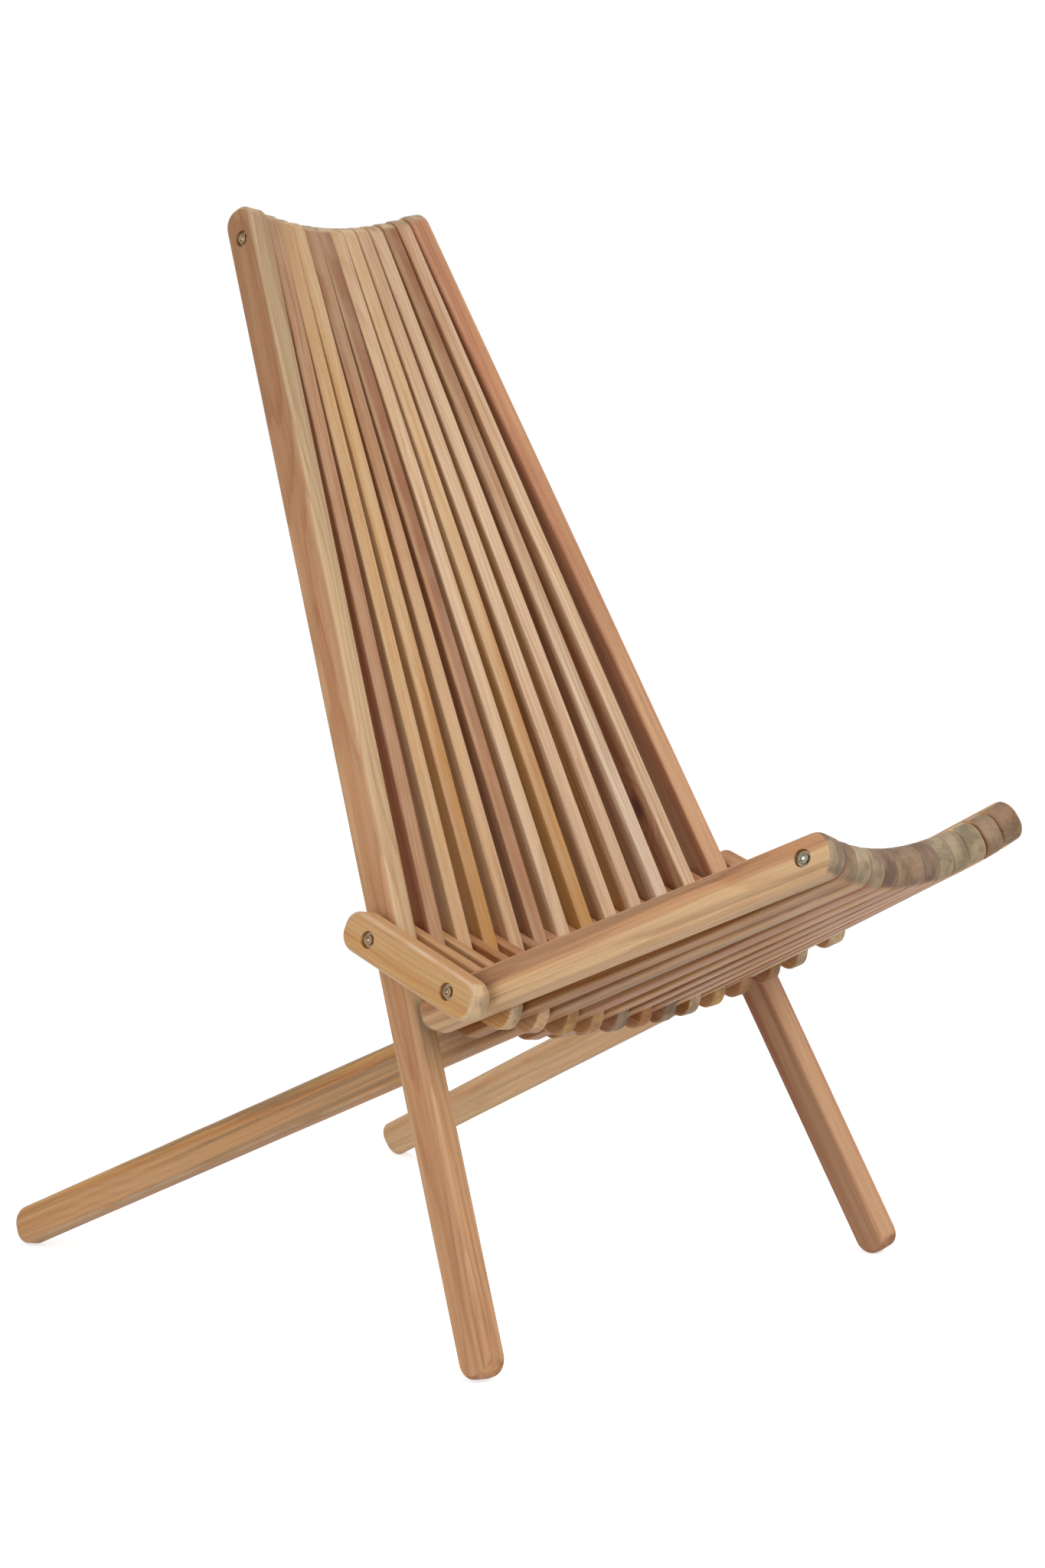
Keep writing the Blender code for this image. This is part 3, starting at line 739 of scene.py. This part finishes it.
# ---------------------------------------------------------------- seat sticks and rear legs
# Thirteen sticks hung between the seat front cable and the seat hinge cable. Numbers 3 and 11
# are thicker and run on down behind the hinge to the floor as the rear legs.
TOP_SAP = (0.0, 1.0, 0.0, 0.0100, 0.0060)
SLANT_SAP = (0.0, -1.0, 0.012, 0.0010, 0.0012)
LEG_SAP = (0.3, 1.0, 0.004, 0.0040, 0.0060)
SEAT_LOOKS = (
    ("salmon", "cream", "oak", "grey", SLANT_SAP, 0.55),
    ("umber", "salmon", "rust", "oak", TOP_SAP, 0.40),
    ("tan", "honey", "oak", "olive", LEG_SAP, 0.75),
    ("rose", "tan", "umber", "grey", TOP_SAP, 0.40),
    ("tan", "honey", "rust", "plum", TOP_SAP, 0.40),
    ("umber", "tan", "brown", "oak", TOP_SAP, 0.40),
    ("rose", "honey", "umber", "oak", TOP_SAP, 0.40),
    ("tan", "tan", "rust", "plum", TOP_SAP, 0.40),
    ("umber", "honey", "rust", "olive", TOP_SAP, 0.40),
    ("rose", "salmon", "brown", "olive", TOP_SAP, 0.40),
    ("apricot", "apricot", "tan", "olive", LEG_SAP, 0.30),
    ("umber", "tan", "rust", "oak", TOP_SAP, 0.40),
    ("tan", "honey", "umber", "oak", TOP_SAP, 0.40),
)
SEAT_CABLES = ("cable_seat_front", "cable_seat_hinge")
FRONT_FLARE = 0.0014
FRONT_FLARE_RUN = 0.20
for number, look in enumerate(SEAT_LOOKS, start=1):
    flare = (FRONT_FLARE * (number > 1), FRONT_FLARE * (number < 13), FRONT_FLARE_RUN)
    make_bar(f"seat_stick_{number:02d}", SEAT_CABLES, look, 200 + number, flare)

# ---------------------------------------------------------------- links
# Fourteen short bars, one each side of every stick, that join the two hinge cables. They are
# cut from the same teak, and the outermost two are thicker and take the cable ends.
LINK_WHOLE = (0.0, 1.0, 0.010, 0.0150, 0.0080)
LINK_LOOKS = (
    ("honey", "cream", "salmon", "beige", LINK_WHOLE, 0.35),
    ("honey", "cream", "tan", "beige", LINK_WHOLE, 0.30),
    ("salmon", "honey", "rust", "cream", LINK_WHOLE, 0.30),
    ("umber", "tan", "rust", "honey", LINK_WHOLE, 0.30),
    ("tan", "salmon", "brown", "tan", LINK_WHOLE, 0.30),
    ("brown", "rose", "plum", "grey", LINK_WHOLE, 0.40),
    ("rust", "salmon", "brown", "umber", LINK_WHOLE, 0.30),
    ("brown", "rose", "brown", "grey", LINK_WHOLE, 0.40),
    ("umber", "tan", "rust", "beige", LINK_WHOLE, 0.30),
    ("tan", "honey", "rust", "honey", LINK_WHOLE, 0.30),
    ("salmon", "tan", "umber", "umber", LINK_WHOLE, 0.30),
    ("brown", "umber", "rust", "umber", LINK_WHOLE, 0.30),
    ("tan", "salmon", "rust", "beige", LINK_WHOLE, 0.30),
    ("salmon", "tan", "umber", "beige", LINK_WHOLE, 0.30),
)
LINK_CABLES = ("cable_back_hinge", "cable_seat_hinge")
for number, look in enumerate(LINK_LOOKS, start=1):
    make_bar(f"link_{number:02d}", LINK_CABLES, look, 300 + number)

# ---------------------------------------------------------------- cables
# Four stainless wire ropes of six strands. Each hangs in its bow through the bored sticks,
# turns square in the outermost ones, and ends in its ferrule.
ROPE_RADIUS = 0.0020
ROPE_STRANDS = 6
ROPE_GROOVE = 0.16
ROPE_LAY = 0.018
ROPE_STEPS = 30
ROPE_STEP = 0.0014
LOBE_ROUNDNESS = 0.6
ROUTE_POINTS = 400
TURN_POINTS = 6
GRIME_WAVES = 260.0
GRIME_DARKNESS = 0.45
GRIME_SHARE = 0.55
SCRATCH_ROUGHNESS = 0.18
SCRATCH_STRENGTH = 0.25
SCRATCH_DEPTH = 0.0002

def steel(name, colour, roughness, streak):
    """Stainless steel with fine scratches and a little grime, in Object coordinates."""
    material = bpy.data.materials.new(name)
    material.use_nodes = True
    tree = material.node_tree
    shader = tree.nodes["Principled BSDF"]
    shader.inputs["Metallic"].default_value = 1.0
    where = put(tree, "ShaderNodeTexCoord", out=3)
    scratch = put(tree, "ShaderNodeTexNoise", where, streak, 4.0, 0.6)
    grime = put(tree, "ShaderNodeTexNoise", where, GRIME_WAVES, 3.0, 0.6)
    dark = (*(c * GRIME_DARKNESS for c in colour), 1.0)
    tint = blend(tree, ramp(tree, grime, 0.42, 0.68, 0.0, GRIME_SHARE), (*colour, 1.0), dark)
    rough = ramp(tree, scratch, 0.3, 0.7, roughness, roughness + SCRATCH_ROUGHNESS)
    tree.links.new(tint, shader.inputs["Base Color"])
    tree.links.new(rough, shader.inputs["Roughness"])
    bump = tree.nodes.new("ShaderNodeBump")
    bump.inputs["Strength"].default_value = SCRATCH_STRENGTH
    bump.inputs["Distance"].default_value = SCRATCH_DEPTH
    tree.links.new(scratch, bump.inputs["Height"])
    tree.links.new(bump.outputs["Normal"], shader.inputs["Normal"])
    return material


ROPE_STEEL = steel("rope_steel", (0.74, 0.73, 0.68), 0.28, 2400.0)
DULL_ROPE_STEEL = steel("dull_rope_steel", (0.46, 0.38, 0.28), 0.42, 2400.0)
BRIGHT_ROW = "seat_front"


def cable_ends(row):
    """A cable's line, and where it turns and which way is out at its right and left ends."""
    line = cable_line(f"cable_{row}")
    ends = []
    for node in (STRUNG[row][0], STRUNG[row][-1]):
        axes, middle, _ = stick_frame(node)
        point, _ = crossing(line, axes, middle)
        ends.append((point, axes[0] * np.sign(middle[0])))
    return line, ends


def height_of(node, point, outward):
    """How far out along a recess the middle of a CAD piece lies from the cable's turn."""
    low, high = (np.array(corner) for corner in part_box(node))
    return ((low + high) / 2 - point) @ outward


def rope_route(row):
    """Points down the middle of a cable from its right end to its left end."""
    line, ends = cable_ends(row)
    tips = []
    for (point, outward), side in zip(ends, ("right", "left")):
        reach = height_of(f"ferrule_{row}_{side}", point, outward)
        tips.append(point + outward * (reach + FERRULE_HALF - TIP_INSET))
    turns = [point for point, _ in ends]
    x = np.linspace(turns[0][0], turns[1][0], ROUTE_POINTS)
    inner = line_at(line, x)[TURN_POINTS:-TURN_POINTS]
    return np.concatenate(([tips[0], turns[0]], inner, [turns[1], tips[1]]))


def distances(route):
    """How far down a route each of its points lies."""
    return np.concatenate(([0], np.cumsum(np.linalg.norm(np.diff(route, axis=0), axis=1))))


def rope_length(name, body, row, route, start, stop):
    """The stretch of a cable between two distances down its route, riding on a body.

    The section is ROPE_RADIUS drawn in by ROPE_GROOVE between its six strands, and it turns
    once in each ROPE_LAY of length.
    """
    length = distances(route)
    stop = min(stop, length[-1])
    at = np.linspace(start, stop, max(3, int((stop - start) / ROPE_STEP)))
    centre = np.stack([np.interp(at, length, route[:, k]) for k in range(3)], 1)
    heading = np.gradient(centre, at, axis=0)
    angle = np.linspace(0, 2 * math.pi, ROPE_STEPS, endpoint=False)
    phase = angle[None, :] - 2 * math.pi * at[:, None] / ROPE_LAY
    lobes = np.abs(np.cos(ROPE_STRANDS / 2 * phase)) ** LOBE_ROUNDNESS
    radii = ROPE_RADIUS * (1 - ROPE_GROOVE + ROPE_GROOVE * lobes)
    obj = solid(name, *tube(np.concatenate((centre, heading), 1), radii, ROPE_STEPS))
    obj.data.shade_smooth()
    obj.data.materials.append(ROPE_STEEL if row == BRIGHT_ROW else DULL_ROPE_STEEL)
    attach(obj, body)
    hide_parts(f"cable_{row}")


def make_rope(row):
    """A cable in one length, or for one that bends in the fold a length for each bar on it.

    Each such length rides on its own bar and stops LENGTH_GAP short of halfway to the next
    one, so the cable turns with the bars as they spread.
    """
    route = rope_route(row)
    if row not in BENDING_ROWS:
        rope_length(f"cable_{row}_rope", BODY_OF[f"cable_{row}"], row, route, 0.0, math.inf)
        return
    length = distances(route)
    line = cable_line(f"cable_{row}")
    x = [crossing(line, *stick_frame(node)[:2])[0][0] for node in STRUNG[row]]
    halfway = np.interp((np.array(x[1:]) + x[:-1]) / 2, route[:, 0], length)
    starts, stops = [0.0, *halfway + LENGTH_GAP], [*halfway - LENGTH_GAP, math.inf]
    for node, start, stop in zip(STRUNG[row], starts, stops):
        rope_length(f"cable_{row}_rope_{node}", BODY_OF[node], row, route, start, stop)


FERRULE_HALF = 0.0014
TIP_INSET = 0.0004
LENGTH_GAP = 0.0002
BACK_STICKS = [f"back_stick_{k:02d}" for k in range(1, 14)]
SEAT_STICKS = [f"seat_stick_{k:02d}" for k in range(1, 14)]
LINKS = [f"link_{k:02d}" for k in range(1, 15)]
STRUNG = {
    "head": BACK_STICKS,
    "back_hinge": [n for pair in zip(LINKS, BACK_STICKS) for n in pair] + LINKS[-1:],
    "seat_hinge": [n for pair in zip(LINKS, SEAT_STICKS) for n in pair] + LINKS[-1:],
    "seat_front": SEAT_STICKS,
}
BENDING_ROWS = ("seat_hinge", "seat_front")
for row in STRUNG:
    make_rope(row)

# ---------------------------------------------------------------- washers and ferrules
# In each recess a pressed steel washer spreads the pull, and a crimped ferrule outside it
# grips the end of the rope. The seat front's ferrules are bright, the others dull and brown.
WASHER_RADIUS = 0.0063
WASHER_HALF = 0.0006
FERRULE_RADIUS = 0.0043
FERRULE_BORE = 0.00215
FERRULE_EASE = 0.0003
CRIMP_DEPTH = 0.00045
CRIMP_FLATS = 6
WASHER_EASE = 0.0003
WASHER_BORE = 0.00255
TURNED_STEPS = 48
SHARP_STEEL_ANGLE = math.radians(35)
WASHER_STEEL = steel("washer_steel", (0.50, 0.38, 0.25), 0.50, 900.0)
FERRULE_STEEL = steel("ferrule_steel", (0.26, 0.23, 0.16), 0.42, 1200.0)
DULL_FERRULE_STEEL = steel("dull_ferrule_steel", (0.36, 0.24, 0.13), 0.55, 1200.0)


def turned(name, centre, axis, profile, crimp):
    """A ring turned about an axis from a closed (radius, height) profile.

    Crimp, one value a corner of the profile, pulls that corner in at six flats round the ring.
    """
    profile, crimp = np.array(profile), np.array(crimp)
    guide = np.array((0.0, 0.0, 1.0))
    up = guide - axis * (guide @ axis)
    up /= np.linalg.norm(up)
    side = np.cross(axis, up)
    angle = np.linspace(0, 2 * math.pi, TURNED_STEPS, endpoint=False)
    flats = 0.5 - 0.5 * np.cos(CRIMP_FLATS * angle)
    radius = profile[None, :, 0] - flats[:, None] * crimp[None, :]
    ray = np.cos(angle)[:, None] * up + np.sin(angle)[:, None] * side
    points = centre + radius[..., None] * ray[:, None] + profile[None, :, 1:2] * axis
    count = len(profile)
    r, c = np.meshgrid(np.arange(TURNED_STEPS), np.arange(count), indexing="ij")
    next_r, next_c = (r + 1) % TURNED_STEPS, (c + 1) % count
    quads = np.stack((r * count + c, r * count + next_c,
                      next_r * count + next_c, next_r * count + c), -1).reshape(-1, 4)
    return solid(name, points.reshape(-1, 3), quads.tolist())


def finish_steel(obj, node, material):
    """Shade a turned piece and let it stand for its CAD node."""
    obj.data.shade_smooth()
    obj.data.set_sharp_from_angle(angle=SHARP_STEEL_ANGLE)
    obj.data.materials.append(material)
    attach(obj, BODY_OF[node])
    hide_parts(node)


def make_washer(node, point, outward):
    """A flat ring with eased outer corners and an eased inner one."""
    w, r, b, e = WASHER_HALF, WASHER_RADIUS, WASHER_BORE, WASHER_EASE
    profile = ((b, -w), (r - e, -w), (r, -w + e), (r, w - e), (r - e, w), (b + e, w), (b, w - e))
    middle = point + outward * height_of(node, point, outward)
    disc = turned(f"{node}_steel", middle, outward, profile, np.zeros(len(profile)))
    finish_steel(disc, node, WASHER_STEEL)


def make_ferrule(node, point, outward, material):
    """A short sleeve, pressed to flats round its waist and rounded over at its outer end."""
    h, r, b, e = FERRULE_HALF, FERRULE_RADIUS, FERRULE_BORE, FERRULE_EASE
    profile = (
        (b, -h), (r - e, -h), (r, -h + e), (r, -h * 0.45), (r - 0.0001, -h * 0.25),
        (r - 0.0001, h * 0.35), (r, h * 0.50), (r, h - 0.0006), (r - e, h - 0.0002),
        (r - 0.0008, h), (b + 0.0005, h), (b, h - 0.0006),
    )
    crimp = np.zeros(len(profile))
    crimp[[4, 5]] = CRIMP_DEPTH
    middle = point + outward * height_of(node, point, outward)
    finish_steel(turned(f"{node}_steel", middle, outward, profile, crimp), node, material)


for row in STRUNG:
    material = FERRULE_STEEL if row == BRIGHT_ROW else DULL_FERRULE_STEEL
    for side, (point, outward) in zip(("right", "left"), cable_ends(row)[1]):
        make_washer(f"washer_{row}_{side}", point, outward)
        make_ferrule(f"ferrule_{row}_{side}", point, outward, material)
